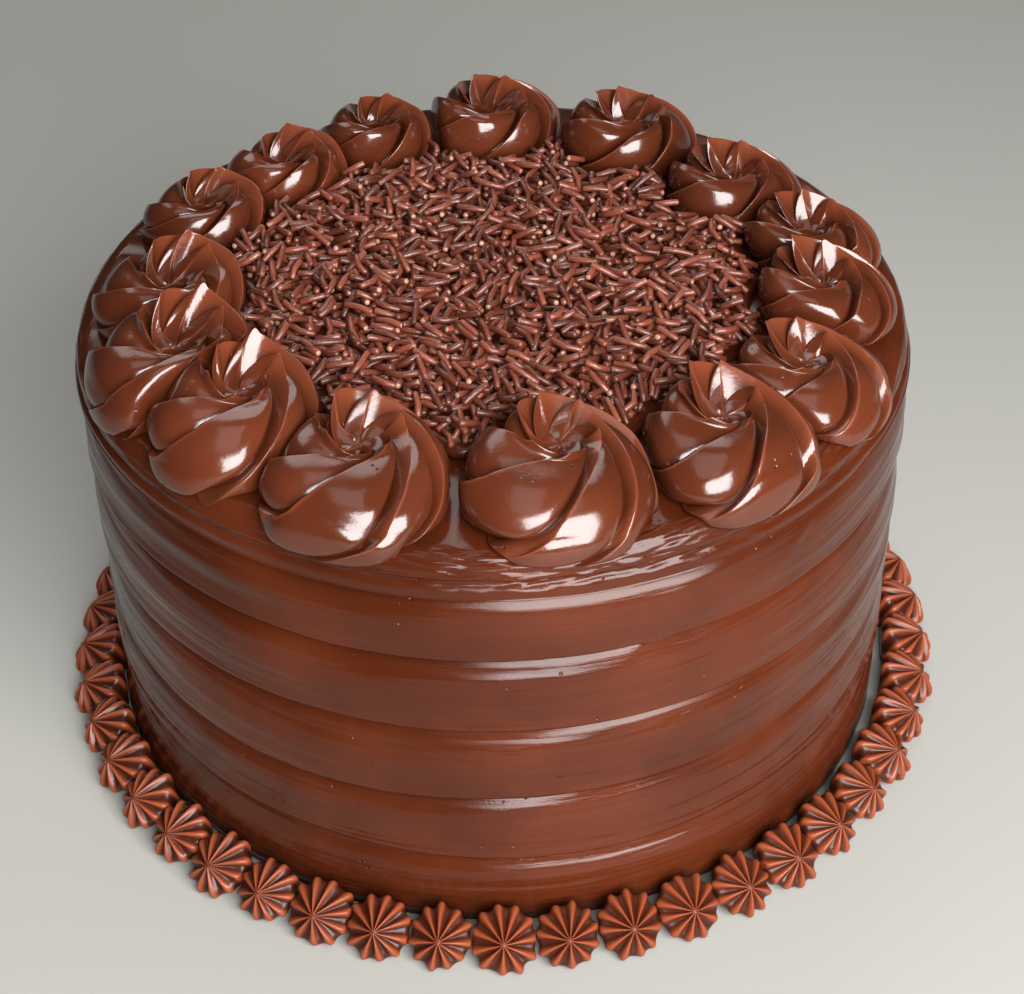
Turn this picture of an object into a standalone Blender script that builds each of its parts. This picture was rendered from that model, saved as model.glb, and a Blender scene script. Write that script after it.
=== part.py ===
"""Round chocolate layer cake: lapped bands of icing round the side, a bed of sprinkles on top inside a
ring of piped rosettes, and a ring of small piped stars round the foot. Metres, +Z up, foot of the cake at
z = 0 and its middle on the Z axis."""

import math
import random

import bpy
import numpy as np

MM = 0.001
GAP = 0.3 * MM

# The cake
CAKE_RADIUS = 100 * MM
CAKE_HEIGHT = 110 * MM
SIDE_TAPER = 0.015
GROOVE_HEIGHTS = (23.0 * MM, 42.2 * MM, 62.2 * MM, 82.6 * MM, 100.6 * MM)
GROOVE_WANDER = 0.9 * MM
TOP_EDGE_ROUND = 5 * MM
CAKE_COLUMNS = 44

# Where the icing's surface lies across one band: share of the band's height from its lower edge, offset
# outwards
BAND_SECTION = ((0.0, -3.2 * MM), (0.08, 0.4 * MM), (0.42, 0.5 * MM), (0.78, -1.0 * MM))

# The ring of rosettes, each one's angle from +X and its own turn in degrees, its distance from the middle,
# its radius and its height, and how strongly it presses into its neighbours
ROSETTE_PLACES = (
    (9.4, 10, 79.7 * MM, 16.8 * MM, 12.6 * MM, 0.35),
    (31.6, 44, 73.0 * MM, 17.4 * MM, 13.5 * MM, 0.30),
    (61.1, 20, 76.1 * MM, 18.7 * MM, 14.7 * MM, 0.27),
    (89.8, 52, 74.6 * MM, 18.5 * MM, 15.0 * MM, 0.25),
    (114.1, 5, 74.6 * MM, 15.5 * MM, 14.0 * MM, 0.25),
    (136.5, 33, 74.4 * MM, 16.0 * MM, 12.5 * MM, 0.27),
    (157.0, 58, 78.7 * MM, 15.5 * MM, 11.6 * MM, 0.30),
    (186.3, 15, 76.4 * MM, 18.3 * MM, 13.7 * MM, 0.40),
    (208.8, 0, 81.0 * MM, 20.2 * MM, 16.0 * MM, 0.60),
    (226.6, 5, 80.3 * MM, 19.5 * MM, 15.4 * MM, 1.00),
    (250.3, 5, 82.4 * MM, 21.3 * MM, 13.4 * MM, 1.00),
    (280.2, 33, 80.0 * MM, 21.4 * MM, 13.2 * MM, 1.10),
    (306.1, 58, 84.5 * MM, 19.7 * MM, 13.2 * MM, 1.00),
    (327.5, 12, 83.0 * MM, 18.3 * MM, 10.8 * MM, 0.70),
    (351.4, 50, 79.1 * MM, 17.2 * MM, 12.4 * MM, 0.45),
)
ROSETTE_PETALS = 6
ROSETTE_REACH = 101.5 * MM
# How far a rosette's top leans towards the cake's middle, and how much higher it stands on that side, as
# shares of its height
ROSETTE_LEAN = 0.24
ROSETTE_TILT = 0.16

# The rosettes end in a summit off their middle: how far off it stands towards +Y as a share of the radius,
# how much narrower it is, and the height to which its hollow is filled and how fully. At the back it is
# this share as strong
SUMMIT_SHIFT = 0.27
SUMMIT_AT_BACK = 0.45
SUMMIT_DRAW = 0.25
SUMMIT_LEVEL = 0.78
SUMMIT_FILL = 0.8

# One petal from its foot to the hollow in the middle. Shares of the radius and the height, of the petal's
# crest and of the valley beside it, and how far the piping has turned by then, in degrees
ROSETTE_ROWS = (
    (0.90, 0.00, 0.74, 0.00, 0),
    (1.00, 0.24, 0.83, 0.17, 22),
    (0.93, 0.58, 0.76, 0.38, 45),
    (0.79, 0.87, 0.61, 0.52, 67),
    (0.62, 0.98, 0.44, 0.55, 100),
    (0.50, 1.06, 0.30, 0.45, 138),
    (0.10, 0.32, 0.08, 0.28, 154),
)
# Across a petal: share of its width, and how much of its crest is left there
PETAL_SECTION = ((0.0, 1.0), (0.34, 0.90), (0.68, 0.62), (0.93, 0.0))

# The ring of stars, piped into the corner between the cake's foot and the table. The ring's middle lies a
# little to the side of the cake's
STAR_COUNT = 47
STAR_RING_SHIFT = 1.0 * MM
STAR_RIDGES = 11
STAR_FIRST_ANGLE = 63.0
STAR_MIDDLE = 109.5 * MM
STAR_INNER_REACH = CAKE_RADIUS + 2.2 * MM
STAR_UNEVENNESS = 0.04
JOINED_PAIRS = 4

# One star's base and its widest level: each one's middle, as its distance from the ring's middle and its
# height, how far it is tilted outwards in degrees, and the radius of its ridges and of the valleys between
# them
STAR_ROWS = (
    (105.6 * MM, 0.0, 0, 5.0 * MM, 4.4 * MM),
    (109.2 * MM, 5.2 * MM, 36, 8.2 * MM, 6.8 * MM),
)
STAR_TIP = (112.8 * MM, 7.8 * MM)

# The sprinkles and the thin bed that they lie in
BED_RADIUS = 66 * MM
BED_THICKNESS = 3.0 * MM
BED_CLEARANCE = 1 * MM
BED_COLUMNS = 60
SPRINKLE_LENGTH = 7 * MM
SPRINKLE_RADIUS = 0.75 * MM
SPRINKLE_SIDES = 5
SPRINKLE_COUNT = 125
GOLDEN_ANGLE = math.pi * (3 - math.sqrt(5))
SEED = 15


def clear_scene():
    for obj in list(bpy.data.objects):
        bpy.data.objects.remove(obj, do_unlink=True)


def icing_material(name, colour, roughness):
    material = bpy.data.materials.new(name)
    material.use_nodes = True
    shader = material.node_tree.nodes["Principled BSDF"]
    shader.inputs["Base Color"].default_value = (*colour, 1)
    shader.inputs["Roughness"].default_value = roughness
    shader.inputs["Metallic"].default_value = 0
    return material


def closed_mesh(name, rings, tip=None):
    """A skin over rings of points, from the lowest ring to the last, with a flat face over the first ring and
    a flat face, or a tip, at the last."""
    count = len(rings[0])
    points = [tuple(point) for ring in rings for point in ring]
    faces = [tuple(range(count - 1, -1, -1))]
    for level in range(len(rings) - 1):
        for i in range(count):
            a = level * count + i
            b = level * count + (i + 1) % count
            faces.append((a, b, b + count, a + count))
    last = (len(rings) - 1) * count
    if tip is None:
        faces.append(tuple(range(last, last + count)))
    else:
        points.append(tuple(tip))
        for i in range(count):
            faces.append((last + i, last + (i + 1) % count, len(points) - 1))
    mesh = bpy.data.meshes.new(name)
    mesh.from_pydata(points, [], faces)
    mesh.validate()
    return mesh


def add_part(name, mesh, material, parent, sharp_degrees):
    """A named object, shaded smooth up to the given angle between faces."""
    mesh.materials.append(material)
    mesh.shade_smooth()
    mesh.set_sharp_from_angle(angle=math.radians(sharp_degrees))
    obj = bpy.data.objects.new(name, mesh)
    bpy.context.scene.collection.objects.link(obj)
    obj.parent = parent
    return obj


def groove_height(number, angle):
    """The height of a groove at each angle round the cake: level, with a slow wander."""
    level = GROOVE_HEIGHTS[number]
    return level + GROOVE_WANDER * (
        0.7 * np.sin(2 * angle + 1.9 * number) + 0.3 * np.sin(5 * angle + 2.3 * number)
    )


def cake_rings():
    """Rings up the side of the cake. Each band of icing laps over the one below: it stands out just above its
    lower edge and slopes back to its upper edge, deep in the next groove."""
    angle = np.linspace(0, 2 * math.pi, CAKE_COLUMNS, endpoint=False)
    edges = [np.zeros(CAKE_COLUMNS)]
    edges += [groove_height(number, angle) for number in range(len(GROOVE_HEIGHTS))]
    edges.append(np.full(CAKE_COLUMNS, CAKE_HEIGHT - TOP_EDGE_ROUND))
    rings = []
    for number in range(len(edges) - 1):
        low, high = edges[number], edges[number + 1]
        for share, offset in BAND_SECTION:
            is_foot = number == 0 and share == 0
            z = low + share * (high - low)
            radius = CAKE_RADIUS * (1 - SIDE_TAPER * z / CAKE_RADIUS) + (0 if is_foot else offset)
            rings.append(np.stack([radius * np.cos(angle), radius * np.sin(angle), z], axis=1))
    for turn in (0, 35, 65, 90):
        z = CAKE_HEIGHT - TOP_EDGE_ROUND * (1 - math.sin(math.radians(turn)))
        inset = TOP_EDGE_ROUND * (1 - math.cos(math.radians(turn)))
        radius = CAKE_RADIUS - SIDE_TAPER * z - inset
        height = np.full(CAKE_COLUMNS, z)
        rings.append(np.stack([radius * np.cos(angle), radius * np.sin(angle), height], axis=1))
    return rings


def lobed_rings(rows, section, lobes, radius, height):
    """Rings of a piped shape with lobes round it. At each level a point lies between the crest and the valley
    of its lobe, and the whole level is turned by the level's own angle."""
    rings = []
    for crest_r, crest_z, valley_r, valley_z, turned in rows:
        points = []
        for lobe in range(lobes):
            for share, crest in section:
                angle = math.radians(turned) + 2 * math.pi * (lobe + share) / lobes
                r = radius * (valley_r + (crest_r - valley_r) * crest)
                z = height * (valley_z + (crest_z - valley_z) * crest)
                points.append((r * math.cos(angle), r * math.sin(angle), z))
        rings.append(np.array(points))
    return rings


def heading(direction):
    return np.array([math.cos(direction), math.sin(direction)])


def press_against(rings, direction, limit):
    """Points past a plane, given by its direction and its distance, come back towards the middle to lie on
    it."""
    across = heading(direction)
    for ring in rings:
        reach = ring[:, :2] @ across
        share = np.where(reach > limit, limit / np.maximum(reach, limit), 1.0)
        ring[:, :2] *= share[:, None]


def summit_share(front, turned):
    """How far a rosette's row belongs to its offset summit: the more, the further it has turned."""
    rise = min(max((turned - 30) / 80, 0), 1)
    return front * rise * rise * (3 - 2 * rise)


def drawn_in(row, share):
    """A rosette's row made narrower, and its low parts filled, by its share in the summit."""
    crest_r, crest_z, valley_r, valley_z, turned = row
    narrower, filled = 1 - SUMMIT_DRAW * share, SUMMIT_FILL * share
    crest_z += max(SUMMIT_LEVEL - crest_z, 0) * filled
    valley_z += max(SUMMIT_LEVEL - valley_z, 0) * filled
    return crest_r * narrower, crest_z, valley_r * narrower, valley_z, turned


def lean_over(rings, tilt, toward, radius, height):
    """Makes the side towards a heading higher, then moves each point that way with the square of its
    height."""
    for ring in rings:
        ring[:, 2] *= 1 + tilt * (ring[:, :2] @ toward) / radius
        ring[:, :2] += toward * (ROSETTE_LEAN * ring[:, 2] ** 2 / height)[:, None]


def rosette_centre(place):
    angle, distance = math.radians(place[0]), place[2]
    return heading(angle) * distance


def make_rosettes(material, parent):
    """The ring of rosettes, each with its own size and turn, and pressed flat where it meets the next one.
    The one that presses more strongly takes more of the way between their middles. Each leans towards the
    cake's middle, and its summit stands off its own."""
    for number, place in enumerate(ROSETTE_PLACES):
        angle, turned, distance, radius, height, strength = place
        turn = math.radians(turned)
        front = SUMMIT_AT_BACK + (1 - SUMMIT_AT_BACK) * max(0, -math.sin(math.radians(angle)))
        shares = [summit_share(front, row[4]) for row in ROSETTE_ROWS]
        rows = [drawn_in(row, share) for row, share in zip(ROSETTE_ROWS, shares)]
        rings = lobed_rings(rows, PETAL_SECTION, ROSETTE_PETALS, radius, height)
        middle = rosette_centre(place)
        tilt = ROSETTE_TILT * (1 - 0.8 * front)
        lean_over(rings, tilt, heading(math.radians(angle) + math.pi - turn), radius, height)
        for ring, share in zip(rings, shares):
            ring[:, :2] += heading(math.pi / 2 - turn) * (SUMMIT_SHIFT * share * radius)
        for neighbour in (ROSETTE_PLACES[number - 1], ROSETTE_PLACES[(number + 1) % len(ROSETTE_PLACES)]):
            apart = rosette_centre(neighbour) - middle
            share = strength / (strength + neighbour[5])
            direction = math.atan2(apart[1], apart[0]) - turn
            press_against(rings, direction, np.linalg.norm(apart) * share - GAP / 2)
        press_against(rings, math.radians(angle) - turn, ROSETTE_REACH - distance)
        mesh = closed_mesh(f"rosette_{number + 1:02d}", rings)
        rosette = add_part(f"rosette_{number + 1:02d}", mesh, material, parent, 38)
        rosette.location = (*middle, CAKE_HEIGHT + GAP)
        rosette.rotation_euler = (0, 0, turn)


def star_mesh(name, turn, size):
    """One foot star: ridges from its flat base to its tilted rim and on to a tip that points up and
    outwards, kept in its own share of the ring and clear of the cake. Its points are round the star's own
    middle."""
    rings = []
    for middle, level, tilt, ridge, valley in STAR_ROWS:
        tilted = math.radians(tilt)
        points = []
        for step in range(2 * STAR_RIDGES):
            reach = size * (valley if step % 2 else ridge)
            angle = turn + math.pi * step / STAR_RIDGES
            outwards = reach * math.cos(angle)
            x = max(middle + outwards * math.cos(tilted), STAR_INNER_REACH)
            limit = x * math.tan(math.pi / STAR_COUNT) - GAP / 2
            y = min(max(reach * math.sin(angle), -limit), limit)
            z = max(level - outwards * math.sin(tilted), 0)
            points.append((x - STAR_MIDDLE, y, z))
        rings.append(points)
    return closed_mesh(name, rings, (STAR_TIP[0] - STAR_MIDDLE, 0, STAR_TIP[1]))


def make_stars(material, parent):
    """The ring of stars round the foot. The last few, at the back, are joined in pairs."""
    singles = STAR_COUNT - 2 * JOINED_PAIRS
    placed = []
    for number in range(STAR_COUNT):
        angle = math.radians(STAR_FIRST_ANGLE) + 2 * math.pi * (number - singles) / STAR_COUNT
        size = 1 + STAR_UNEVENNESS * math.sin(GOLDEN_ANGLE * number)
        turn = (GOLDEN_ANGLE * number) % (2 * math.pi / STAR_RIDGES)
        name = f"foot_star_{number + 1:02d}"
        star = add_part(name, star_mesh(name, turn, size), material, parent, 30)
        star.location = (STAR_RING_SHIFT + STAR_MIDDLE * math.cos(angle), STAR_MIDDLE * math.sin(angle), 0)
        star.rotation_euler = (0, 0, angle)
        placed.append(star)
    for pair in range(JOINED_PAIRS):
        first, second = placed[singles + 2 * pair], placed[singles + 2 * pair + 1]
        join_pair(first, second)
        first.name = f"foot_star_{singles + pair + 1:02d}"


def join_pair(first, second):
    """Two neighbouring stars made one solid by a narrow bridge between their bases."""
    bpy.context.view_layer.update()
    middle = (first.matrix_world.translation + second.matrix_world.translation) / 2 * 0.97
    bridge_mesh = bpy.data.meshes.new("bridge")
    half_along, half_across, top = 4 * MM, 2 * MM, 2 * MM
    corners = [
        (x, y, z) for z in (0, top) for x, y in
        ((-half_across, -half_along), (half_across, -half_along),
         (half_across, half_along), (-half_across, half_along))
    ]
    sides = [(i, (i + 1) % 4, (i + 1) % 4 + 4, i + 4) for i in range(4)]
    bridge_mesh.from_pydata(corners, [], [(3, 2, 1, 0), (4, 5, 6, 7), *sides])
    bridge = bpy.data.objects.new("bridge", bridge_mesh)
    bpy.context.scene.collection.objects.link(bridge)
    bridge.location = middle
    bridge.rotation_euler = (0, 0, math.atan2(middle.y, middle.x))
    unite(first, [bridge, second])


def unite(target, others):
    """Joins the others to the target by one union on a collection, applies it and removes them."""
    group = bpy.data.collections.new("to_join")
    bpy.context.scene.collection.children.link(group)
    for obj in others:
        group.objects.link(obj)
    union = target.modifiers.new("join", "BOOLEAN")
    union.operation = "UNION"
    union.operand_type = "COLLECTION"
    union.collection = group
    union.solver = "MANIFOLD"
    graph = bpy.context.evaluated_depsgraph_get()
    joined = bpy.data.meshes.new_from_object(target.evaluated_get(graph))
    target.modifiers.remove(union)
    target.data = joined
    for obj in others:
        bpy.data.objects.remove(obj, do_unlink=True)
    bpy.data.collections.remove(group)


def bed_outline(angle):
    """How far the bed reaches at this angle: up to the circle round each rosette, or the bed's own radius."""
    reach = BED_RADIUS
    for place, _, distance, radius, _, _ in ROSETTE_PLACES:
        turn = angle - math.radians(place)
        aside = distance * math.sin(turn)
        clear = radius + BED_CLEARANCE
        if math.cos(turn) > 0 and abs(aside) < clear:
            reach = min(reach, distance * math.cos(turn) - math.sqrt(clear**2 - aside**2))
    return reach


def sprinkle_mesh(middle, bearing, tilt, length):
    """One sprinkle: a straight rod with a few sides, lying at its bearing and its small tilt."""
    along = np.array(
        [math.cos(bearing) * math.cos(tilt), math.sin(bearing) * math.cos(tilt), math.sin(tilt)]
    )
    aside = np.array([-math.sin(bearing), math.cos(bearing), 0.0])
    up = np.cross(along, aside)
    rings = []
    for end in (-0.5, 0.5):
        ring = []
        for side in range(SPRINKLE_SIDES):
            turn = 2 * math.pi * side / SPRINKLE_SIDES
            spoke = aside * math.cos(turn) + up * math.sin(turn)
            ring.append(np.array(middle) + along * end * length + spoke * SPRINKLE_RADIUS)
        rings.append(np.array(ring))
    return closed_mesh("sprinkle", rings)


def make_sprinkle_bed(material, parent, chance):
    """A thin bed with sprinkles fused on it, spread evenly by the turn of a sunflower's seeds."""
    angle = np.linspace(0, 2 * math.pi, BED_COLUMNS, endpoint=False)
    reach = np.array([bed_outline(a) for a in angle])
    rings = []
    for z, inset in ((0, 0), (BED_THICKNESS, 0.5 * MM)):
        radius = reach - inset
        height = np.full(BED_COLUMNS, CAKE_HEIGHT + GAP + z)
        rings.append(np.stack([radius * np.cos(angle), radius * np.sin(angle), height], axis=1))
    bed = add_part("sprinkle_bed", closed_mesh("sprinkle_bed", rings), material, parent, 40)
    top = CAKE_HEIGHT + GAP + BED_THICKNESS
    rods = []
    for number in range(SPRINKLE_COUNT):
        place = GOLDEN_ANGLE * number
        distance = BED_RADIUS * math.sqrt((number + 0.5) / SPRINKLE_COUNT)
        bearing = chance.uniform(0, math.pi)
        tilt = chance.uniform(-0.2, 0.2)
        length = SPRINKLE_LENGTH * chance.uniform(0.75, 1.15)
        middle = (
            distance * math.cos(place),
            distance * math.sin(place),
            top + 0.35 * SPRINKLE_RADIUS + abs(math.sin(tilt)) * length / 4,
        )
        ends = [
            (middle[0] + s * length / 2 * math.cos(bearing), middle[1] + s * length / 2 * math.sin(bearing))
            for s in (-1, 1)
        ]
        if any(math.hypot(x, y) > bed_outline(math.atan2(y, x)) - 2 * SPRINKLE_RADIUS for x, y in ends):
            continue
        rod = bpy.data.objects.new("sprinkle", sprinkle_mesh(middle, bearing, tilt, length))
        bpy.context.scene.collection.objects.link(rod)
        rods.append(rod)
    unite(bed, rods)
    bed.data.shade_smooth()
    bed.data.set_sharp_from_angle(angle=math.radians(40))


def main():
    clear_scene()
    chance = random.Random(SEED)
    centre = bpy.data.objects.new("cake_centre", None)
    bpy.context.scene.collection.objects.link(centre)
    icing = icing_material("chocolate_icing", (0.10, 0.028, 0.014), 0.28)
    piping = icing_material("rosette_icing", (0.105, 0.030, 0.015), 0.25)
    star_icing = icing_material("star_icing", (0.16, 0.038, 0.016), 0.42)
    sprinkles = icing_material("sprinkles", (0.13, 0.04, 0.025), 0.4)
    add_part("cake", closed_mesh("cake", cake_rings()), icing, centre, 50)
    make_sprinkle_bed(sprinkles, centre, chance)
    make_rosettes(piping, centre)
    make_stars(star_icing, centre)


main()
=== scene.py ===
"""The looks of a round chocolate layer cake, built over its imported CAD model.

The cake's side is lapped bands of glossy icing, its top a heap of sprinkles inside a ring of piped
rosettes, and round its foot stands a ring of small piped stars. Every surface is a grid of points worked
out with numpy. Sizes are in metres, +Z is up, and the cake's middle is on the Z axis with its foot at z =
0.
"""

import logging
import math
from dataclasses import dataclass
from enum import Enum

import bpy
import numpy as np
from mathutils import Matrix, Vector
from numpy.typing import NDArray


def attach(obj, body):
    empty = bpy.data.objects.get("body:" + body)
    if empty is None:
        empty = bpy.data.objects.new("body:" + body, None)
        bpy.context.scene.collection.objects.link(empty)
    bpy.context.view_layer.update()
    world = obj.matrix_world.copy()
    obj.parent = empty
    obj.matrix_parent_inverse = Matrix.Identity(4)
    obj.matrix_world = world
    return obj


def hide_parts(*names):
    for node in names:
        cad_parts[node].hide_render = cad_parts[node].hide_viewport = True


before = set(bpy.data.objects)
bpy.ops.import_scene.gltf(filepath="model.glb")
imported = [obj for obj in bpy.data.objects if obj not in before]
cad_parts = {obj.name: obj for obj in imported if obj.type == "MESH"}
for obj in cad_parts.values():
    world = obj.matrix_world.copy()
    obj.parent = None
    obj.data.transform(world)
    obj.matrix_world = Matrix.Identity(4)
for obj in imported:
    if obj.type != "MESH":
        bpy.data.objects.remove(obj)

LOG = logging.getLogger("layer_cake")
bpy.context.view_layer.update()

Array = NDArray[np.float64]
Colour = tuple[float, float, float]
Socket = bpy.types.NodeSocket

MM = 0.001
GAP = 0.3 * MM
TURN = 2 * math.pi
GOLDEN_ANGLE = math.pi * (3 - math.sqrt(5))

# Sizes that the CAD model and its looks share
CAKE_RADIUS = 100 * MM
CAKE_HEIGHT = 110 * MM
SIDE_TAPER = 0.015
GROOVE_HEIGHTS = (23.0 * MM, 42.2 * MM, 62.2 * MM, 82.6 * MM, 100.6 * MM)
GROOVE_WANDER = 0.9 * MM
TOP_EDGE_ROUND = 5 * MM

# Each rosette's angle from +X and its own turn in degrees, its distance from the middle, its radius and its
# height, and how strongly it presses into its neighbours
ROSETTE_PLACES = (
    (9.4, 10, 79.7 * MM, 16.8 * MM, 12.6 * MM, 0.35),
    (31.6, 44, 73.0 * MM, 17.4 * MM, 13.5 * MM, 0.30),
    (61.1, 20, 76.1 * MM, 18.7 * MM, 14.7 * MM, 0.27),
    (89.8, 52, 74.6 * MM, 18.5 * MM, 15.0 * MM, 0.25),
    (114.1, 5, 74.6 * MM, 15.5 * MM, 14.0 * MM, 0.25),
    (136.5, 33, 74.4 * MM, 16.0 * MM, 12.5 * MM, 0.27),
    (157.0, 58, 78.7 * MM, 15.5 * MM, 11.6 * MM, 0.30),
    (186.3, 15, 76.4 * MM, 18.3 * MM, 13.7 * MM, 0.40),
    (208.8, 0, 81.0 * MM, 20.2 * MM, 16.0 * MM, 0.60),
    (226.6, 5, 80.3 * MM, 19.5 * MM, 15.4 * MM, 1.00),
    (250.3, 5, 82.4 * MM, 21.3 * MM, 13.4 * MM, 1.00),
    (280.2, 33, 80.0 * MM, 21.4 * MM, 13.2 * MM, 1.10),
    (306.1, 58, 84.5 * MM, 19.7 * MM, 13.2 * MM, 1.00),
    (327.5, 12, 83.0 * MM, 18.3 * MM, 10.8 * MM, 0.70),
    (351.4, 50, 79.1 * MM, 17.2 * MM, 12.4 * MM, 0.45),
)
ROSETTE_PETALS = 6
ROSETTE_REACH = 101.5 * MM
ROSETTE_LEAN = 0.24
ROSETTE_TILT = 0.16
SUMMIT_SHIFT = 0.27
SUMMIT_AT_BACK = 0.45
SUMMIT_DRAW = 0.25
SUMMIT_LEVEL = 0.78
SUMMIT_FILL = 0.8

STAR_COUNT = 47
STAR_RING_SHIFT = 1.0 * MM
STAR_RIDGES = 11
STAR_FIRST_ANGLE = 63.0
STAR_INNER_REACH = CAKE_RADIUS + 2.2 * MM
STAR_UNEVENNESS = 0.04
JOINED_PAIRS = 4

BED_RADIUS = 66 * MM
BED_THICKNESS = 3.0 * MM
BED_CLEARANCE = 1 * MM
SPRINKLE_RADIUS = 0.75 * MM


# Numbers and curves


def smooth_step(share: Array) -> Array:
    """An ease from 0 to 1: three times the square less twice the cube of the share.

    Args:
        share: The shares, which are first kept from 0 to 1.

    Returns:
        The eased shares.
    """
    share = np.clip(share, 0.0, 1.0)
    return share * share * (3 - 2 * share)


def through_knots(knots: Array, at: Array) -> Array:
    """A smooth line through every knot: between two knots a cubic that leaves each one along the line from
    the knot before it to the knot after it.

    Args:
        knots: One row of values per knot.
        at: Where to read the line, from 0 at the first knot to the last knot's number.

    Returns:
        One row of values per reading.
    """
    last = len(knots) - 1
    padded = np.concatenate([2 * knots[:1] - knots[1:2], knots, 2 * knots[-1:] - knots[-2:-1]])
    start = np.clip(np.floor(at).astype(int), 0, last - 1)
    t = (at - start)[:, None]
    before, here, after, beyond = (padded[start + step] for step in range(4))
    return 0.5 * (
        2 * here
        + (after - before) * t
        + (2 * before - 5 * here + 4 * after - beyond) * t**2
        + (3 * here - before - 3 * after + beyond) * t**3
    )


def drifting_noise(u: Array, v: Array, cells_u: int, cells_v: int, seed: int) -> Array:
    """Smooth unevenness: random heights on a lattice, eased from each to the next.

    Args:
        u: The place along the first way, in whole turns: the lattice repeats after one.
        v: The place along the second way, from 0 to 1.
        cells_u: Lattice cells in one turn.
        cells_v: Lattice cells from v = 0 to v = 1.
        seed: The seed of the heights.

    Returns:
        Heights from -1 to 1, of the shape that u and v give together.
    """
    lattice = np.random.default_rng(seed).uniform(-1, 1, (cells_v + 2, cells_u))
    along = np.mod(u, 1.0) * cells_u
    up = np.clip(v, 0.0, 1.0) * cells_v
    i, j = np.floor(along).astype(int) % cells_u, np.floor(up).astype(int)
    a, b = smooth_step(along - np.floor(along)), smooth_step(up - np.floor(up))
    following = (i + 1) % cells_u
    low = lattice[j, i] * (1 - a) + lattice[j, following] * a
    high = lattice[j + 1, i] * (1 - a) + lattice[j + 1, following] * a
    return low * (1 - b) + high * b


# Meshes


def skin_mesh(name: str, grids: list[Array], attributes: dict[str, list[Array]]) -> bpy.types.Mesh:
    """One mesh of closed skins. Each skin is a grid of rows of points that run round it, from its lowest
    row to its last, with a fan to the middle of its first row and another to the middle of its last.

    Args:
        name: The mesh's name.
        grids: Points of each skin, rows by columns by three.
        attributes: Values for each point of each grid, by the attribute's name.

    Returns:
        The mesh, shaded smooth, its faces outwards where the rows run counter-clockwise seen from their end.
    """
    points, corners, lengths = [], [], []
    values: dict[str, list[Array]] = {key: [] for key in attributes}
    base = 0
    for number, grid in enumerate(grids):
        rows, columns = grid.shape[:2]
        points += [grid.reshape(-1, 3), grid[0].mean(axis=0)[None], grid[-1].mean(axis=0)[None]]
        for key, given in attributes.items():
            own = given[number]
            values[key] += [own.reshape(-1), own[0].mean()[None], own[-1].mean()[None]]
        index = base + np.arange(rows * columns).reshape(rows, columns)
        beside = np.roll(index, -1, axis=1)
        quads = np.stack([index[:-1], beside[:-1], beside[1:], index[1:]], axis=-1).reshape(-1)
        low = np.stack([beside[0], index[0], np.full(columns, base + rows * columns)], axis=-1)
        high = np.stack([index[-1], beside[-1], np.full(columns, base + rows * columns + 1)], axis=-1)
        corners += [quads, low.reshape(-1), high.reshape(-1)]
        lengths += [np.full(len(quads) // 4, 4), np.full(2 * columns, 3)]
        base += rows * columns + 2
    return filled_mesh(
        name,
        np.concatenate(points),
        np.concatenate(corners),
        np.concatenate(lengths),
        {key: np.concatenate(parts) for key, parts in values.items()},
    )


def filled_mesh(
    name: str,
    points: Array,
    corners: NDArray[np.int64],
    lengths: NDArray[np.int64],
    attributes: dict[str, Array],
) -> bpy.types.Mesh:
    """A mesh put in as whole arrays.

    Args:
        name: The mesh's name.
        points: One row of three per point.
        corners: The point of each face corner, face after face.
        lengths: How many corners each face has.
        attributes: A value for each point, by the attribute's name.

    Returns:
        The mesh, shaded smooth.
    """
    mesh = bpy.data.meshes.new(name)
    mesh.vertices.add(len(points))
    mesh.vertices.foreach_set("co", points.astype(np.float32).reshape(-1))
    mesh.loops.add(len(corners))
    mesh.loops.foreach_set("vertex_index", corners.astype(np.int32))
    mesh.polygons.add(len(lengths))
    starts = np.concatenate([[0], np.cumsum(lengths)[:-1]])
    mesh.polygons.foreach_set("loop_start", starts.astype(np.int32))
    for key, values in attributes.items():
        attribute = mesh.attributes.new(key, "FLOAT", "POINT")
        attribute.data.foreach_set("value", values.astype(np.float32))
    mesh.update(calc_edges=True)
    mesh.validate()
    mesh.shade_smooth()
    return mesh


def add_piece(
    mesh: bpy.types.Mesh, material: bpy.types.Material, nodes: list[str]
) -> bpy.types.Object:
    """Puts a finished piece in the scene in place of CAD nodes, and reports it.

    Args:
        mesh: The piece's mesh, which gives its name.
        material: Its material.
        nodes: The CAD nodes that it stands for.

    Returns:
        The piece.
    """
    mesh.materials.append(material)
    piece = bpy.data.objects.new(mesh.name, mesh)
    bpy.context.scene.collection.objects.link(piece)
    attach(piece, "root")
    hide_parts(*nodes)
    mesh.calc_loop_triangles()
    LOG.info("%s: %d triangles, in place of %s", piece.name, len(mesh.loop_triangles), ", ".join(nodes))
    return piece


# Finishes: how far marks, waves, pits and the fine grain lift the surface, in metres, and how it bends light
MARK_DEPTH = 0.00022
LONG_WAVE_DEPTH = 0.0011
SHORT_WAVE_DEPTH = 0.0008
PIT_DEPTH = 0.00025
FINE_DEPTH = 0.00002
ICING_IOR = 1.46
SUGAR_IOR = 1.5


class Grain(Enum):
    """Which way the marks in an icing run."""

    ROUND_THE_CAKE = "round"
    ANY_WAY = "any"


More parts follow.
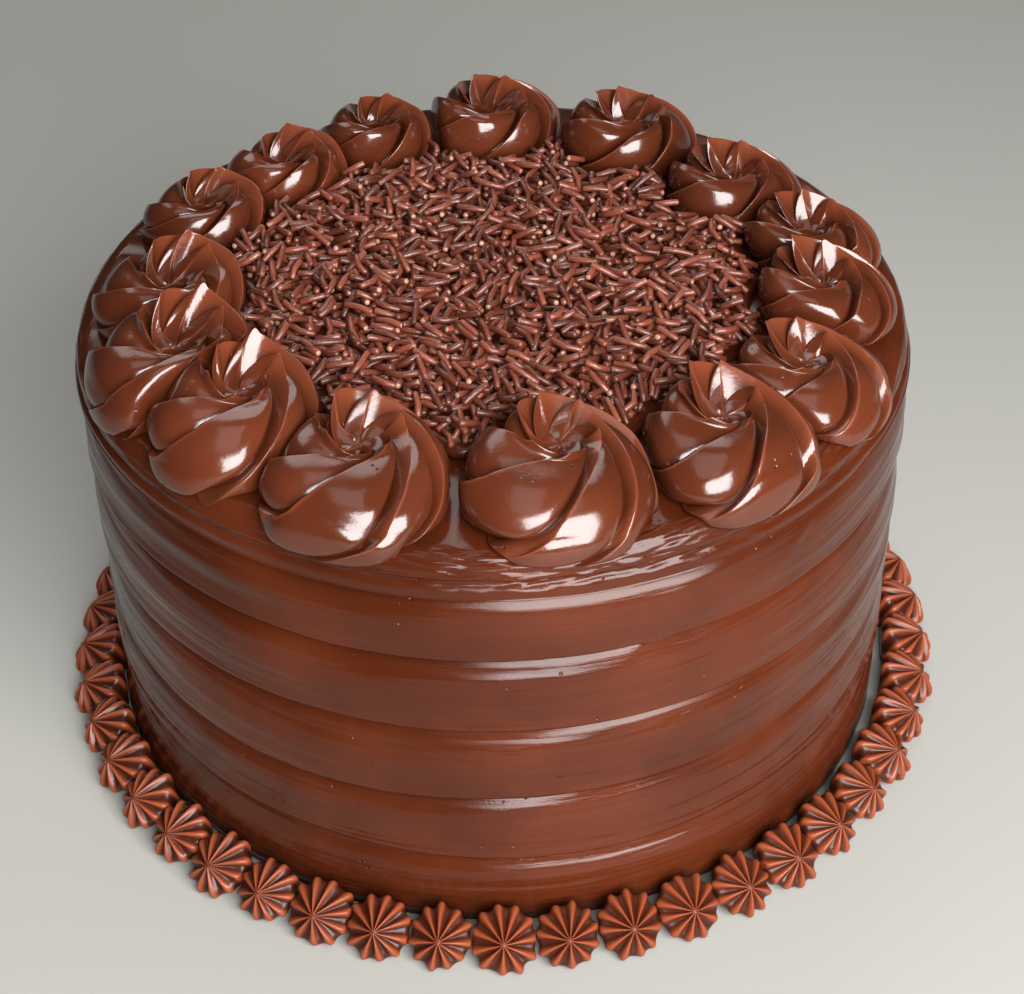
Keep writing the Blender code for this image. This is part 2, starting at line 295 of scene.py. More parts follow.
class NodeBench:
    """Adds and joins the nodes of one material.

    Args:
        name: The material's name.
    """

    def __init__(self, name: str) -> None:
        self.material = bpy.data.materials.new(name)
        self.material.use_nodes = True
        self.tree = self.material.node_tree
        self.surface = self.tree.nodes["Principled BSDF"]

    def add(self, kind: str, settings: dict | None = None, inputs: dict | None = None) -> bpy.types.Node:
        """Adds a node.

        Args:
            kind: The node's type.
            settings: Its own properties.
            inputs: Its inputs, by name or number: a value, or another node's output to join.

        Returns:
            The node.
        """
        node = self.tree.nodes.new(kind)
        for key, value in (settings or {}).items():
            setattr(node, key, value)
        for key, value in (inputs or {}).items():
            self.give(node, key, value)
        return node

    def give(self, node: bpy.types.Node, key: str | int, value: object) -> None:
        """Joins an output to a node's input, or sets the input to a plain value.

        Args:
            node: The node.
            key: The input's name or number.
            value: The output, or the plain value.
        """
        if isinstance(value, Socket):
            self.tree.links.new(value, node.inputs[key])
        else:
            node.inputs[key].default_value = value

    def place(self, scale: tuple[float, float, float]) -> Socket:
        """Object coordinates stretched along each axis, for a pattern that stays on the piece.

        Args:
            scale: How much along each axis.

        Returns:
            The place, as an output.
        """
        coordinates = self.add("ShaderNodeTexCoord")
        return self.add(
            "ShaderNodeVectorMath",
            {"operation": "MULTIPLY"},
            {0: coordinates.outputs["Object"], 1: scale},
        ).outputs[0]

    def noise(self, place: Socket, scale: float, detail: float, rough: float = 0.5) -> Socket:
        """A noise pattern from 0 to 1.

        Args:
            place: Where it is read, as an output.
            scale: How fine it is.
            detail: How many finer patterns are added to it.
            rough: How strongly those count.

        Returns:
            The pattern, as an output.
        """
        node = self.add(
            "ShaderNodeTexNoise",
            None,
            {"Vector": place, "Scale": scale, "Detail": detail, "Roughness": rough},
        )
        return node.outputs["Fac"]

    def ramp(self, value: Socket, low: float, high: float, to_low: float, to_high: float) -> Socket:
        """A value carried from one range to another, eased at both ends and kept inside it.

        Args:
            value: The value, as an output.
            low: The low end of its range.
            high: The high end of its range.
            to_low: What the low end becomes.
            to_high: What the high end becomes.

        Returns:
            The new value, as an output.
        """
        node = self.add(
            "ShaderNodeMapRange",
            {"clamp": True, "interpolation_type": "SMOOTHSTEP"},
            {"Value": value, "From Min": low, "From Max": high, "To Min": to_low, "To Max": to_high},
        )
        return node.outputs["Result"]

    def blend(self, share: Socket, first: object, second: object) -> Socket:
        """Two colours mixed.

        Args:
            share: The second colour's share, as an output.
            first: The first colour, plain or an output.
            second: The second colour, plain or an output.

        Returns:
            The mixed colour, as an output.
        """
        node = self.add("ShaderNodeMix", {"data_type": "RGBA"})
        self.give(node, 0, share)
        self.give(node, 6, first)
        self.give(node, 7, second)
        return node.outputs[2]

    def attribute(self, name: str) -> Socket:
        """A value that the mesh holds for each point."""
        return self.add("ShaderNodeAttribute", {"attribute_name": name}).outputs["Fac"]

    def bump(self, height: Socket, distance: float, strength: float, below: object = None) -> Socket:
        """A bump over another one, or over the plain surface.

        Args:
            height: The pattern that lifts the surface, as an output.
            distance: How far it lifts, in metres.
            strength: How strongly it counts.
            below: The bump under it, where there is one.

        Returns:
            The surface's direction, as an output.
        """
        inputs = {"Height": height, "Distance": distance, "Strength": strength}
        if below is not None:
            inputs["Normal"] = below
        return self.add("ShaderNodeBump", None, inputs).outputs["Normal"]


def opaque(colour: Colour) -> tuple[float, float, float, float]:
    """The colour as a socket takes it."""
    return (*colour, 1.0)


@dataclass(frozen=True)
class Icing:
    """Smooth, glossy chocolate icing with faint marks, tiny pits and a darker and a lighter tone.

    Args:
        name: The material's name.
        tone: Its main colour.
        deep: Its darker colour, in patches and in hollows.
        edge: Its paler colour on crests and ridges, painted light: a glow for light that comes through thin
            crests, and lit ridges.
        roughness: The roughness of the icing itself.
        shine: How strongly it mirrors.
        grain: Which way its marks run.
    """

    name: str
    tone: Colour
    deep: Colour
    edge: Colour
    roughness: float
    shine: float
    grain: Grain

    def material(self) -> bpy.types.Material:
        """Makes the material: patches of tone, crests painted paler as light, drag marks, waves, rare pits
        and a fine grain.

        Returns:
            The material.
        """
        bench = NodeBench(self.name)
        plain = bench.place((1.0, 1.0, 1.0))
        patches = bench.ramp(bench.noise(plain, 28.0, 3.0), 0.35, 0.68, 0.0, 1.0)
        colour = bench.blend(patches, opaque(self.deep), opaque(self.tone))
        # Painted light: the crest share mixes in the paler edge colour, a glow on thin crests and lit ridges
        # on the stars.
        crest = bench.attribute("crest")
        colour = bench.blend(bench.ramp(crest, 0.0, 1.0, 0.0, 1.0), colour, opaque(self.edge))
        if self.grain is Grain.ROUND_THE_CAKE:
            marks = bench.noise(bench.place((9.0, 9.0, 420.0)), 1.0, 5.0, 0.62)
            waves = bench.noise(bench.place((14.0, 14.0, 210.0)), 1.0, 2.0, 0.5)
            wave_depth = LONG_WAVE_DEPTH
        else:
            marks = bench.noise(plain, 90.0, 4.0, 0.55)
            waves = bench.noise(plain, 45.0, 2.0, 0.5)
            wave_depth = SHORT_WAVE_DEPTH
        fine = bench.noise(plain, 1500.0, 2.0, 0.5)
        pits = bench.add("ShaderNodeTexVoronoi", {"feature": "F1"}, {"Vector": plain, "Scale": 330.0})
        pit = bench.ramp(pits.outputs["Distance"], 0.05, 0.16, 0.0, 1.0)
        rare = bench.ramp(bench.noise(plain, 120.0, 1.0), 0.62, 0.67, 0.0, 1.0)
        pitted = bench.add(
            "ShaderNodeMath", {"operation": "MAXIMUM"}, {0: pit, 1: bench.ramp(rare, 0.0, 1.0, 1.0, 0.0)}
        ).outputs[0]
        normal = bench.bump(marks, MARK_DEPTH, 1.0, bench.bump(waves, wave_depth, 1.0))
        normal = bench.bump(pitted, PIT_DEPTH, 0.8, normal)
        normal = bench.bump(fine, FINE_DEPTH, 1.0, normal)
        surface = bench.surface
        bench.give(surface, "Base Color", colour)
        rough = bench.ramp(marks, 0.3, 0.7, self.roughness - 0.05, self.roughness + 0.06)
        bench.give(surface, "Roughness", rough)
        bench.give(surface, "Normal", normal)
        bench.give(surface, "IOR", ICING_IOR)
        bench.give(surface, "Specular IOR Level", self.shine)
        return bench.material


@dataclass(frozen=True)
class SprinkleCoat:
    """The satin shell of the sprinkles: each one has its own tone, and its broken ends are paler.

    Args:
        name: The material's name.
        dark: The darkest sprinkle.
        light: The lightest sprinkle.
        broken: The colour of a broken end.
        roughness: The roughness of the shell.
    """

    name: str
    dark: Colour
    light: Colour
    broken: Colour
    roughness: float

    def material(self) -> bpy.types.Material:
        """Makes the material: a tone for each sprinkle, paler broken ends, waves and a fine grain.

        Returns:
            The material.
        """
        bench = NodeBench(self.name)
        plain = bench.place((1.0, 1.0, 1.0))
        colour = bench.blend(bench.attribute("tone"), opaque(self.dark), opaque(self.light))
        colour = bench.blend(bench.attribute("broken"), colour, opaque(self.broken))
        grain = bench.noise(plain, 1400.0, 3.0, 0.6)
        waves = bench.noise(plain, 500.0, 2.0)
        normal = bench.bump(grain, 0.00006, 1.0, bench.bump(waves, 0.0002, 1.0))
        surface = bench.surface
        bench.give(surface, "Base Color", colour)
        rough = bench.ramp(grain, 0.3, 0.7, self.roughness - 0.08, self.roughness + 0.1)
        bench.give(surface, "Roughness", rough)
        bench.give(surface, "Normal", normal)
        bench.give(surface, "IOR", SUGAR_IOR)
        return bench.material


# The edge colours are painted light: paler crests and ridges in place of light through thin icing and light
# on the stars' ridges.
SIDE_ICING = Icing(
    name="side_icing",
    tone=(0.066, 0.0132, 0.0042),
    deep=(0.042, 0.0082, 0.0026),
    edge=(0.11, 0.026, 0.011),
    roughness=0.16,
    shine=0.26,
    grain=Grain.ROUND_THE_CAKE,
)
PIPED_ICING = Icing(
    name="piped_icing",
    tone=(0.078, 0.0170, 0.0064),
    deep=(0.056, 0.0122, 0.0045),
    edge=(0.12, 0.028, 0.0115),
    roughness=0.17,
    shine=0.62,
    grain=Grain.ANY_WAY,
)
STAR_ICING = Icing(
    name="star_icing",
    tone=(0.040, 0.0076, 0.0030),
    deep=(0.028, 0.0054, 0.0022),
    edge=(0.20, 0.042, 0.0150),
    roughness=0.34,
    shine=0.30,
    grain=Grain.ANY_WAY,
)
SPRINKLE_COAT = SprinkleCoat(
    name="sprinkle_coat",
    dark=(0.060, 0.0125, 0.0060),
    light=(0.155, 0.037, 0.019),
    broken=(0.30, 0.155, 0.10),
    roughness=0.34,
)


# The cake


@dataclass(frozen=True)
class Smear:
    """A low swell where icing was smeared or folded over.

    Args:
        angle: Degrees round the cake, of its middle.
        height: Its middle's height.
        length: How far it runs round the cake each way from its middle.
        width: How far it runs up and down from its middle.
        rise: How far it stands out, or sinks in where negative.
        slant: Metres up for each metre along.
    """

    angle: float
    height: float
    length: float
    width: float
    rise: float
    slant: float = 0.0


@dataclass
class CakeBody:
    """The cake: lapped bands of icing up its side, a rounded rim and a flat top.

    Args:
        columns: Points round the cake.
        band_rows: Points up each band.
        band_section: Knots across one band, of share of its height, offset outwards and lift. The first lies
            deep in the groove below the band and the second under its lip.
        smears: The smears and small marks on the side and the rim.
        relief_layers: Each layer of unevenness: its height, its cells round the cake and up it, and its seed.
        rim_rows: Points over the rounded rim.
        top_rings: Radii of the rings of the flat top, in millimetres.
        fold_foot: The height from which the rim's folds grow.
        fold_span: How far they reach over the rim.
        fold_rise: How far the deepest of them stand out.
    """

    columns: int = 576
    band_rows: int = 23
    band_section: tuple[tuple[float, float, float], ...] = (
        (0.00, -3.8 * MM, 0.8 * MM),
        (0.00, -2.0 * MM, -0.1 * MM),
        (0.00, -0.3 * MM, -0.3 * MM),
        (0.02, 0.55 * MM, 0.0),
        (0.06, 0.80 * MM, 0.0),
        (0.13, 0.55 * MM, 0.0),
        (0.38, 0.65 * MM, 0.0),
        (0.58, 0.25 * MM, 0.0),
        (0.70, -0.40 * MM, 0.0),
        (0.80, -1.35 * MM, 0.0),
        (0.90, -2.70 * MM, 0.0),
        (0.97, -3.65 * MM, 0.0),
        (1.00, -3.8 * MM, 0.8 * MM),
    )
    smears: tuple[Smear, ...] = (
        Smear(-78, 77.4 * MM, 11 * MM, 2.4 * MM, 0.7 * MM),
        Smear(-70.6, 82.0 * MM, 1.6 * MM, 1.2 * MM, 0.8 * MM),
        Smear(-87.4, 86.8 * MM, 1.0 * MM, 0.9 * MM, 0.6 * MM),
        Smear(-84.8, 86.6 * MM, 1.0 * MM, 0.8 * MM, 0.6 * MM),
        Smear(-77, 57.6 * MM, 16 * MM, 1.4 * MM, 0.45 * MM, 0.04),
        Smear(-64, 96.0 * MM, 9 * MM, 1.6 * MM, 0.4 * MM, 0.15),
        Smear(-50, 93.0 * MM, 7 * MM, 0.9 * MM, 0.4 * MM, 0.5),
        Smear(-115, 71.0 * MM, 15 * MM, 2.0 * MM, 0.35 * MM, -0.05),
        Smear(-100, 35.0 * MM, 18 * MM, 2.2 * MM, 0.35 * MM, 0.03),
        Smear(-60, 31.0 * MM, 16 * MM, 1.6 * MM, 0.35 * MM, 0.03),
    )
    relief_layers: tuple[tuple[float, int, int, int], ...] = (
        (0.55 * MM, 9, 7, 11),
        (0.26 * MM, 20, 50, 12),
        (0.12 * MM, 55, 105, 13),
    )
    rim_rows: int = 26
    top_rings: tuple[float, ...] = (84.0, 72.0, 55.0, 30.0)
    fold_foot: float = 101 * MM
    fold_span: float = 12 * MM
    fold_rise: float = 0.36 * MM

    def groove_height(self, number: int, angle: Array) -> Array:
        """A groove's height at each angle: its level, with a slow wander of two waves."""
        level = GROOVE_HEIGHTS[number]
        return level + GROOVE_WANDER * (
            0.7 * np.sin(2 * angle + 1.9 * number) + 0.3 * np.sin(5 * angle + 2.3 * number)
        )

    def side_grid(self, angle: Array) -> tuple[Array, Array]:
        """The side's rows, as radius and height.

        Across each band the offset and the lift follow a smooth line through the band's knots, and the
        groove's depth swells and fades round the cake. The first band starts at the cake's foot.

        Args:
            angle: The angle of each column.

        Returns:
            Radius and height, rows by columns.
        """
        turn = angle / TURN
        edges = [np.zeros_like(angle)]
        edges += [self.groove_height(number, angle) for number in range(len(GROOVE_HEIGHTS))]
        edges.append(np.full_like(angle, CAKE_HEIGHT - TOP_EDGE_ROUND))
        knots = np.array(self.band_section)
        at = np.linspace(0, len(knots) - 1, self.band_rows, endpoint=False)
        share, offset, lift = through_knots(knots, at).T
        radii, heights = [], []
        bands = len(edges) - 1
        for number in range(bands):
            low, high = edges[number], edges[number + 1]
            strength = 0.8 + 0.3 * drifting_noise(turn, np.full_like(turn, number / bands), 11, bands, 40)
            strength = strength + 0.2 * np.cos(angle + math.radians(72))
            depth = np.where(offset[:, None] < 0, offset[:, None] * strength, offset[:, None])
            raise_by = lift[:, None] * np.ones_like(angle)
            if number == 0:
                below = share < 0.08
                depth = np.where(below[:, None], -0.6 * MM, depth)
                raise_by = raise_by * 0
            if number == bands - 1:
                depth = np.where(share[:, None] > 0.6, np.maximum(depth, -0.5 * MM), depth)
            z = low + share[:, None] * (high - low) + raise_by
            radii.append(CAKE_RADIUS - SIDE_TAPER * z + depth)
            heights.append(np.maximum(z, 0))
        return np.concatenate(radii), np.concatenate(heights)

    def relief(self, angle: Array, height: Array) -> Array:
        """How far the icing stands out beyond its bands.

        It is the sum of a broad unevenness, of drag lines that run round the cake, and of the smears, each of
        which is its rise times a bell curve along and a steeper one across.

        Args:
            angle: The angle of each point.
            height: The height of each point.

        Returns:
            The relief in metres.
        """
        turn, up = angle / TURN, height / CAKE_HEIGHT
        relief = np.zeros_like(turn + up)
        for rise, cells_round, cells_up, seed in self.relief_layers:
            relief = relief + rise * drifting_noise(turn, up, cells_round, cells_up, seed)
        for smear in self.smears:
            away = np.angle(np.exp(1j * (angle - math.radians(smear.angle))))
            along = away * CAKE_RADIUS
            across = height - smear.height - smear.slant * along
            bell = np.exp(-((along / smear.length) ** 4)) * np.exp(-((across / smear.width) ** 2))
            relief = relief + smear.rise * bell
        return relief

    def rim_folds(self, angle: Array, height: Array, facing: Array) -> Array:
        """How far the small folds on the rim stand out, along the rim's own outward direction.

        Two noises, stretched round the cake, are added and fade out below the last groove. They are
        strongest at the front, a little to the right.

        Args:
            angle: The angle of each column.
            height: The height of each point.
            facing: How far up each row faces, in radians from level.

        Returns:
            The folds in metres, rows by columns.
        """
        edge = np.minimum(height, CAKE_HEIGHT - TOP_EDGE_ROUND)
        up = (edge - self.fold_foot + TOP_EDGE_ROUND * facing) / self.fold_span
        turn = angle[None, :] / TURN + 0.004 * np.sin(40 * up)
        noise = drifting_noise(turn, up, 130, 8, 21) + 0.5 * drifting_noise(turn, up, 290, 12, 22)
        front = 0.35 + 0.65 * np.exp(-((np.angle(np.exp(1j * (angle + math.radians(68)))) / 0.62) ** 4))
        return self.fold_rise * noise * front * smooth_step(up / 0.2)

    def build(self) -> None:
        """Makes the cake: side rows, then the rounded rim, then the flat top."""
        angle = np.linspace(0, TURN, self.columns, endpoint=False)
        radius, height = self.side_grid(angle)
        rim = np.radians(np.linspace(0, 90, self.rim_rows))[:, None]
        rim_height = CAKE_HEIGHT - TOP_EDGE_ROUND * (1 - np.sin(rim)) + 0 * angle
        rim_radius = CAKE_RADIUS - SIDE_TAPER * rim_height - TOP_EDGE_ROUND * (1 - np.cos(rim))
        top_radius = np.array(self.top_rings)[:, None] * MM + 0 * angle
        radius = np.concatenate([radius, rim_radius, top_radius])
        height = np.concatenate([height, rim_height, np.full_like(top_radius, CAKE_HEIGHT)])
        relief = self.relief(angle[None, :] + 0 * height, height)
        relief *= smooth_step((radius - 88 * MM) / (5 * MM)) * smooth_step(height / (3 * MM))
        radius = radius + relief
        side_rows = len(height) - len(rim) - len(top_radius)
        facing = np.concatenate([np.zeros(side_rows), rim[:, 0], np.full(len(top_radius), TURN / 4)])
        fold = self.rim_folds(angle, height, facing[:, None])
        radius = radius + fold * np.cos(facing)[:, None]
        height = height + fold * np.sin(facing)[:, None] * smooth_step((radius - 86 * MM) / (6 * MM))
        grid = np.stack([radius * np.cos(angle), radius * np.sin(angle), height], axis=-1)
        mesh = skin_mesh("iced_cake", [grid], {"crest": [np.zeros(grid.shape[:2])]})
        add_piece(mesh, SIDE_ICING.material(), ["cake"])


# The rosettes


@dataclass(frozen=True)
class RosettePlace:
    """One line of the table of rosettes.

    Args:
        angle: Degrees round the cake.
        turned: Its own turn, in degrees.
        distance: Metres from the cake's middle.
        radius: Its radius.
        height: Its height.
        strength: How strongly it presses into its neighbours.
    """

    angle: float
    turned: float
    distance: float
    radius: float
    height: float
    strength: float

    @property
    def centre(self) -> Array:
        """Its middle on the cake's top."""
        angle = math.radians(self.angle)
        return np.array([math.cos(angle), math.sin(angle)]) * self.distance


@dataclass
class Rosette:
    """One piped rosette: six ribbons of icing that turn as they climb and end in peaks round a hollow.

    Args:
        number: Its number in the ring, from 0.
        rows: From foot to hollow, degrees turned, then the crest's share of the radius and of the height,
            and the same two of the valley beside it.
        rows_shown: Grid rows.
        valley_at: Share of a ribbon's width at which its face reaches the valley beside the next crest.
        blade_from: Degrees turned from which the ribbons thin to blades.
        peaks_toward: The direction, in degrees, in which the blades end highest.
        peak: How much higher they end there, as a share of the height.
        overlap: How far it presses past the plane that parts it from a neighbour.
    """

    number: int
    rows: tuple[tuple[float, float, float, float, float], ...] = (
        (-6, 0.80, 0.00, 0.72, 0.00),
        (3, 0.93, 0.03, 0.77, 0.02),
        (12, 0.99, 0.11, 0.81, 0.08),
        (22, 1.00, 0.25, 0.84, 0.17),
        (34, 0.98, 0.42, 0.82, 0.28),
        (46, 0.93, 0.60, 0.76, 0.38),
        (57, 0.86, 0.76, 0.68, 0.46),
        (68, 0.78, 0.88, 0.60, 0.51),
        (84, 0.69, 0.94, 0.51, 0.54),
        (104, 0.61, 0.97, 0.42, 0.52),
        (124, 0.55, 1.01, 0.34, 0.47),
        (138, 0.50, 1.06, 0.29, 0.41),
        (146, 0.37, 0.78, 0.24, 0.36),
        (151, 0.22, 0.44, 0.17, 0.31),
        (154, 0.08, 0.28, 0.07, 0.27),
    )
    rows_shown: int = 96
    valley_at: float = 0.93
    blade_from: float = 62.0
    peaks_toward: float = 120.0
    peak: float = 0.14
    overlap: float = 0.3 * MM

    @property
    def place(self) -> RosettePlace:
        """Its line of the table."""
        return RosettePlace(*ROSETTE_PLACES[self.number % len(ROSETTE_PLACES)])

    def ribbon_shares(self) -> Array:
        """Where the grid's columns lie across one ribbon, closer together at the crest and the valley."""
        return np.concatenate([
            np.linspace(0.0, 0.10, 6, endpoint=False),
            np.linspace(0.10, 0.80, 15, endpoint=False),
            np.linspace(0.80, self.valley_at, 8, endpoint=False),
            np.linspace(self.valley_at, 1.0, 11, endpoint=False),
        ])

    def crest_left(self, share: Array) -> Array:
        """How much of the crest is left across a ribbon: a quarter ellipse down to the valley, then an eased
        step up to the next crest.

        Args:
            share: The shares of the ribbon's width.

        Returns:
            The share of the crest that is left at each.
        """
        face = np.sqrt(np.maximum(0.0, 1 - (share / self.valley_at) ** 2))
        step = smooth_step((share - self.valley_at) / (1 - self.valley_at))
        return np.where(share < self.valley_at, face, step)

    def surface(self) -> tuple[Array, Array]:
        """The rosette's grid of points, in place on the cake.

        At a level, radius and height lie between the valley's and the crest's by the crest left there,
        and the angle is the level's turn plus the ribbon's share of a whole turn. Each ribbon's crest,
        height and place differ a little. The top leans towards the cake's middle with the square of its
        height. It is also narrower, its hollow is filled and it is shifted towards +Y, most of all at the
        front. Points near a neighbour's plane are eased back inside it, and the foot follows the cake's
        rounded rim.

        Returns:
            Points, rows by columns by three, and how near each one is to a crest's edge, where the glow of
            light through the thin crest is painted.
        """
        place = self.place
        chance = np.random.default_rng(700 + self.number)
        knots = np.array(self.rows)
        at = np.linspace(0, len(knots) - 1, self.rows_shown)
        turned, crest_r, crest_z, valley_r, valley_z = (part[:, None] for part in through_knots(knots, at).T)
        front = SUMMIT_AT_BACK + (1 - SUMMIT_AT_BACK) * max(0.0, -math.sin(math.radians(place.angle)))
        summit = front * smooth_step((turned - 30) / 80)
        crest_r, valley_r = (part * (1 - SUMMIT_DRAW * summit) for part in (crest_r, valley_r))
        crest_z, valley_z = (
            part + np.maximum(SUMMIT_LEVEL - part, 0) * SUMMIT_FILL * summit for part in (crest_z, valley_z)
        )
        shares = self.ribbon_shares()
        lobe = np.repeat(np.arange(ROSETTE_PETALS), len(shares))
        share = np.tile(shares, ROSETTE_PETALS)
        following = (lobe + 1) % ROSETTE_PETALS
        wider = chance.uniform(-0.06, 0.06, ROSETTE_PETALS)
        taller = chance.uniform(-0.08, 0.03, ROSETTE_PETALS)
        later = chance.uniform(-0.12, 0.12, ROSETTE_PETALS)
        between = share[None, :]
        reach = 1 + wider[lobe] * (1 - between) + wider[following] * between
        rise = 1 + taller[lobe] * (1 - between) + taller[following] * between
        shift = later[lobe] * (1 - between) + later[following] * between
        thin = smooth_step((turned - self.blade_from) / 60)
        sloped = np.maximum(0.0, 1 - share / self.valley_at) ** 1.25
        sloped = np.where(share < self.valley_at, sloped, self.crest_left(share))
        left = self.crest_left(share)[None, :] * (1 - 0.8 * thin) + sloped[None, :] * 0.8 * thin
        radius = place.radius * (valley_r + (crest_r * reach - valley_r) * left)
        z = np.maximum(place.height * (valley_z + (crest_z * rise - valley_z) * left), 0.0)
        around = np.radians(turned + place.turned) + TURN * (lobe + share + shift) / ROSETTE_PETALS
        z = z * (1 + self.peak * thin * left * np.cos(around - math.radians(self.peaks_toward)))
        flat = np.stack([radius * np.cos(around), radius * np.sin(around)], axis=-1)
        toward = -place.centre / place.distance
        z = z * (1 + ROSETTE_TILT * (1 - 0.8 * front) * (flat @ toward) / place.radius)
        flat = flat + toward * (ROSETTE_LEAN * z**2 / place.height)[..., None]
        flat = flat + np.array([0.0, SUMMIT_SHIFT * place.radius]) * summit[..., None]
        for neighbour in (Rosette(self.number - 1).place, Rosette(self.number + 1).place):
            apart = neighbour.centre - place.centre
            part = place.strength / (place.strength + neighbour.strength)
            limit = float(np.linalg.norm(apart)) * part + self.overlap
            flat = self.eased_back(flat, math.atan2(apart[1], apart[0]), limit)
        flat = self.eased_back(flat, math.radians(place.angle), ROSETTE_REACH - place.distance)
        flat = flat + place.centre
        outward = np.linalg.norm(flat, axis=-1)
        past = np.clip((outward - (CAKE_RADIUS - 1.6 * MM - TOP_EDGE_ROUND)) / TOP_EDGE_ROUND, 0, 0.9)
        droop = TOP_EDGE_ROUND * (1 - np.sqrt(1 - past**2))
        z = z - droop * (1 - 0.6 * np.clip(z / place.height, 0, 1))
        points = np.concatenate([flat, (CAKE_HEIGHT + 0.1 * MM + z)[..., None]], axis=-1)
        # How near each point is to a crest: where the paler edge colour is painted as a glow of light through
        # the thin crest.
        near = np.exp(-((np.minimum(share, 1 - share) / 0.035) ** 2))[None, :]
        lip = near * smooth_step((np.radians(turned) - 0.1) / 0.5) + 0 * radius
        return points, lip

    @staticmethod
    def eased_back(flat: Array, direction: float, limit: float) -> Array:
        """Points that come close to a plane, or past it, are drawn towards the middle, so that their
        distance along the plane's direction closes on the limit and never passes it.

        Args:
            flat: Points round the rosette's middle.
            direction: The plane's direction, in radians.
            limit: The plane's distance from the middle.

        Returns:
            The points, moved.
        """
        reach = flat @ np.array([math.cos(direction), math.sin(direction)])
        start = 0.86 * limit
        eased = limit - (limit - start) * np.exp(-np.maximum(reach - start, 0) / (limit - start))
        scale = np.where(reach > start, eased / np.maximum(reach, start), 1.0)
        return flat * scale[..., None]

    def build(self, material: bpy.types.Material) -> None:
        """Makes the rosette.

        Args:
            material: Its icing.
        """
        points, lip = self.surface()
        name = f"rosette_{self.number + 1:02d}"
        # The crest attribute carries the crests' painted glow.
        mesh = skin_mesh(f"piped_{name}", [points], {"crest": [lip]})
        add_piece(mesh, material, [name])


@dataclass
class RosetteRing:
    """The ring of rosettes on the cake's top."""

    count: int = len(ROSETTE_PLACES)

    def build(self) -> None:
        """Makes every rosette, all of one icing."""
        material = PIPED_ICING.material()
        for number in range(self.count):
            Rosette(number).build(material)


# The stars


@dataclass
class Star:
    """One piped star: ridges that rise from the corner at the cake's foot to a tip that points up and
    outwards.

    Args:
        number: Its number in the ring, from 0.
        rows: From the base to the tip, each level's middle as its distance from the ring's middle and its
            height, its tilt outwards in degrees, and the radius of its ridges and of its valleys. Lengths
            in millimetres.
        blade: Half a ridge's width, as a share of the way from one ridge to the next.
        rows_shown: Grid rows.
        columns_a_ridge: Grid columns for each ridge.
        sink: How far the valleys sink into the star's face.
    """

    number: int
    rows: tuple[tuple[float, float, float, float, float], ...] = (
        (105.6, 0.0, 0, 5.0, 4.4),
        (107.1, 1.9, 18, 6.9, 6.0),
        (108.4, 3.9, 31, 7.9, 6.9),
        (109.2, 5.2, 36, 8.2, 6.9),
        (110.0, 6.1, 36, 7.5, 6.1),
        (110.9, 6.8, 36, 5.9, 4.6),
        (111.7, 7.3, 36, 3.9, 2.9),
        (112.4, 7.6, 36, 1.9, 1.4),
        (112.8, 7.8, 36, 0.4, 0.3),
    )
    blade: float = 0.24
    rows_shown: int = 22
    columns_a_ridge: int = 10
    sink: float = 0.9 * MM

    def surface(self) -> tuple[Array, Array]:
        """The star's grid of points, in place round the cake's foot.

        At a level a point's reach lies between the valley's and the ridge's by a bell curve across the
        ridge. It is turned round the level's middle, in the level's tilted plane. The star stays above
        the floor, in its own share of the ring and clear of the cake.

        Returns:
            Points, rows by columns by three, and how near each one is to a ridge's edge, where the ridge is
            painted lit.
        """
        singles = STAR_COUNT - 2 * JOINED_PAIRS
        angle = math.radians(STAR_FIRST_ANGLE) + TURN * (self.number - singles) / STAR_COUNT
        size = 1 + STAR_UNEVENNESS * math.sin(GOLDEN_ANGLE * self.number)
        turn = (GOLDEN_ANGLE * self.number) % (TURN / STAR_RIDGES)
        chance = np.random.default_rng(900 + self.number)
        knots = np.array(self.rows)
        at = np.linspace(0, len(knots) - 1, self.rows_shown)
        middle, level, tilt, ridge_r, valley_r = (part[:, None] for part in through_knots(knots, at).T)
        ridge = np.repeat(np.arange(STAR_RIDGES), self.columns_a_ridge)
        share = np.tile(np.arange(self.columns_a_ridge) / self.columns_a_ridge - 0.5, STAR_RIDGES)
        longer = chance.uniform(-0.09, 0.02, STAR_RIDGES)[ridge]
        aside = chance.uniform(-0.12, 0.12, STAR_RIDGES)[ridge] * (1 - (2 * share) ** 2)
        left = np.exp(-(np.abs(share / self.blade) ** 2.6))[None, :]
        reach = MM * size * (valley_r + (ridge_r * (1 + longer) - valley_r) * left)
        rising, falling = smooth_step((at[:, None] - 3.0) / 2), smooth_step((8.0 - at[:, None]) / 2)
        sunk = self.sink * (1 - left) * rising * falling
        around = TURN * (ridge + share + aside) / STAR_RIDGES + turn
        tilted = np.radians(tilt)
        outwards = reach * np.cos(around)
        x = middle * MM + outwards * np.cos(tilted) - sunk * np.sin(tilted)
        z = np.maximum(level * MM - outwards * np.sin(tilted) - sunk * np.cos(tilted), 0.0)
        x = np.maximum(x, STAR_INNER_REACH)
        limit = x * math.tan(math.pi / STAR_COUNT) - GAP / 2
        y = np.clip(reach * np.sin(around), -limit, limit)
        points = np.stack(
            [
                STAR_RING_SHIFT + x * math.cos(angle) - y * math.sin(angle),
                x * math.sin(angle) + y * math.cos(angle),
                z,
            ],
            axis=-1,
        )
        # The ridge share sets where the paler edge colour is painted: ridges painted lit against darker
        # valleys.
        return points, left * smooth_step(at[:, None] / 1.5) + 0 * reach


